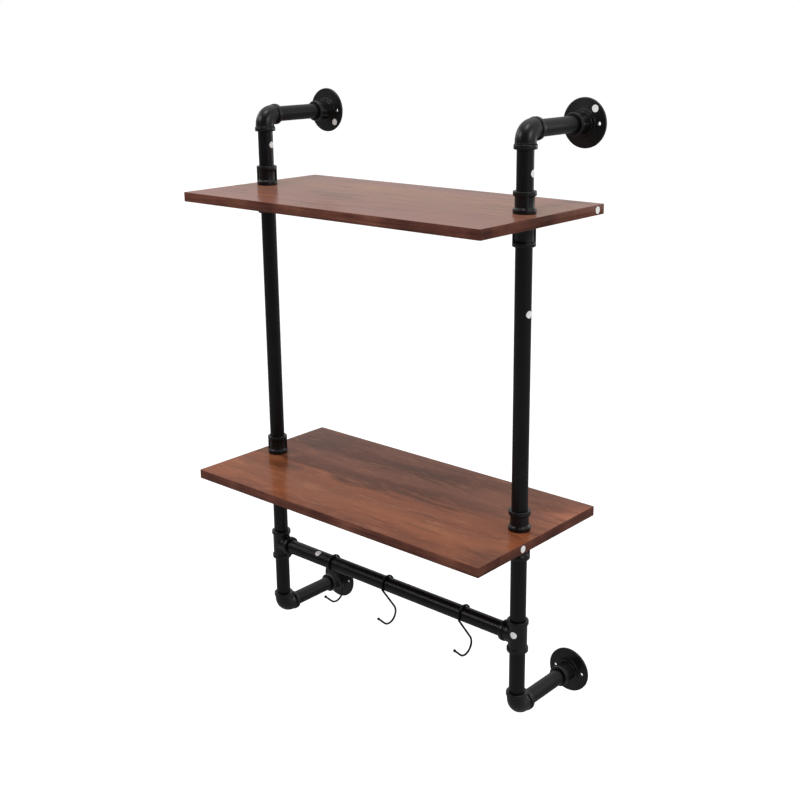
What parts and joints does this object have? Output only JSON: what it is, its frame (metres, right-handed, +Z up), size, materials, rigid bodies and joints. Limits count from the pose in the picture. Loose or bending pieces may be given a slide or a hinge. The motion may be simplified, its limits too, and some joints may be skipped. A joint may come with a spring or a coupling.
{
  "type": "pipe shelving unit",
  "caption": "Wall shelf of wood-look boards on screwed black pipe posts, held by wall flanges, with a rail and S-hooks under the lower board.",
  "frame": {"origin": "on the wall, midway between the two posts and midway in height between the upper and the lower flanges: the middle of the wall screw holes", "axes": "+X to the right seen from the room, +Y into the wall, +Z up; the flanges' backs lie on the wall, Y = 0"},
  "size_m": [0.6103, 0.298, 0.9714],
  "materials": {
    "walnut_laminate": "satin printed wood grain, reddish brown",
    "edge_banding": "satin dark brown edging",
    "black_pipe": "semi-matte black coat on steel pipe",
    "black_casting": "semi-matte black coat on cast fittings, faintly rough",
    "black_wire": "satin black coat on bent wire",
    "paper_dot": "matt white paper"
  },
  "bodies": {
    "frame": {"upper_board": "walnut_laminate", "lower_board": "walnut_laminate", "upper_edge_band": "edge_banding", "lower_edge_band": "edge_banding", "upper_left_flange": "black_casting", "upper_right_flange": "black_casting", "lower_left_flange": "black_casting", "lower_right_flange": "black_casting", "upper_left_elbow": "black_casting", "upper_right_elbow": "black_casting", "lower_left_elbow": "black_casting", "lower_right_elbow": "black_casting", "left_tee": "black_casting", "right_tee": "black_casting", "upper_left_coupling_above": "black_casting", "upper_left_coupling_below": "black_casting", "upper_right_coupling_above": "black_casting", "upper_right_coupling_below": "black_casting", "lower_left_coupling_above": "black_casting", "lower_left_coupling_below": "black_casting", "lower_right_coupling_above": "black_casting", "lower_right_coupling_below": "black_casting", "upper_left_arm": "black_pipe", "upper_right_arm": "black_pipe", "lower_left_arm": "black_pipe", "lower_right_arm": "black_pipe", "upper_left_nipple": "black_pipe", "upper_right_nipple": "black_pipe", "lower_left_nipple": "black_pipe", "lower_right_nipple": "black_pipe", "left_riser": "black_pipe", "left_long_pipe": "black_pipe", "left_short_pipe": "black_pipe", "left_drop_pipe": "black_pipe", "right_riser": "black_pipe", "right_long_pipe": "black_pipe", "right_short_pipe": "black_pipe", "right_drop_pipe": "black_pipe", "towel_bar": "black_pipe", "part_labels": "paper_dot"},
    "hook_left": {"hook_left": "black_wire"},
    "hook_middle": {"hook_middle": "black_wire"},
    "hook_right": {"hook_right": "black_wire"}
  },
  "joints": [
    {"name": "hook_left_swing", "type": "hinge", "parent": "frame", "child": "hook_left", "pos_m": [-0.13207, -0.149, -0.3245], "axis": [1, 0, 0], "range_deg": [-60, 60]},
    {"name": "hook_middle_swing", "type": "hinge", "parent": "frame", "child": "hook_middle", "pos_m": [-0.00506, -0.149, -0.3245], "axis": [1, 0, 0], "range_deg": [-60, 60]},
    {"name": "hook_right_swing", "type": "hinge", "parent": "frame", "child": "hook_right", "pos_m": [0.16099, -0.149, -0.3245], "axis": [1, 0, 0], "range_deg": [-60, 60]}
  ]
}
